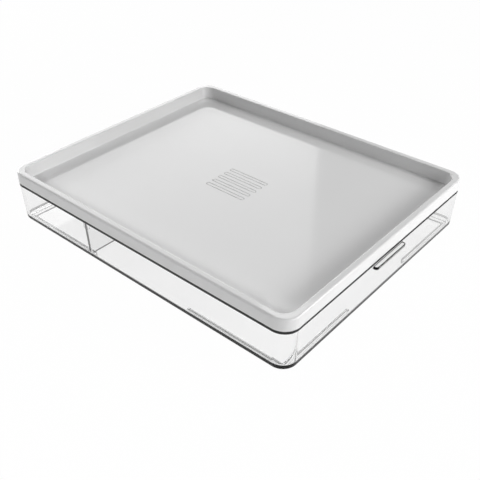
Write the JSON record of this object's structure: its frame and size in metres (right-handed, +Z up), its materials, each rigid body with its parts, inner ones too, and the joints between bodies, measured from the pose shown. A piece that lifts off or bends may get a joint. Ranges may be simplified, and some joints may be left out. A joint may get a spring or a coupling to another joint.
{
  "type": "divided food container",
  "caption": "Flat clear food tray on low corner foot ribs with lift-out dividers, a seal round the rim and a white lid with a sunken top, for stacking.",
  "frame": {"origin": "middle of the whole footprint, lifting tab counted in, on the plane of the feet", "axes": "+X along the long sides, towards the short side with the lifting tab; +Y along the short sides; +Z up"},
  "size_m": [0.275, 0.2236, 0.0458],
  "materials": {
    "tray_plastic": "clear moulded plastic, polished",
    "divider_plastic": "clear moulded plastic, polished",
    "lid_plastic": "white moulded plastic, satin",
    "seal_rubber": "dark grey silicone, dull"
  },
  "bodies": {
    "tray": {"clear_tray": "tray_plastic", "rim_seal": "seal_rubber"},
    "lid": {"white_lid": "lid_plastic"},
    "long_divider_body": {"long_divider": "divider_plastic"},
    "cross_divider_body": {"cross_divider": "divider_plastic"}
  },
  "joints": [
    {"name": "lid_lift", "type": "slide", "parent": "tray", "child": "lid", "axis": [0, 0, 1], "range_m": [0, 0.15]},
    {"name": "long_divider_lift", "type": "slide", "parent": "tray", "child": "long_divider_body", "axis": [0, 0, 1], "range_m": [0, 0.05]},
    {"name": "cross_divider_lift", "type": "slide", "parent": "tray", "child": "cross_divider_body", "axis": [0, 0, 1], "range_m": [0, 0.1]}
  ],
  "couplings": [
    {"joint": "long_divider_lift", "follows": "lid_lift", "ratio": 0.33},
    {"joint": "cross_divider_lift", "follows": "lid_lift", "ratio": 0.66}
  ]
}
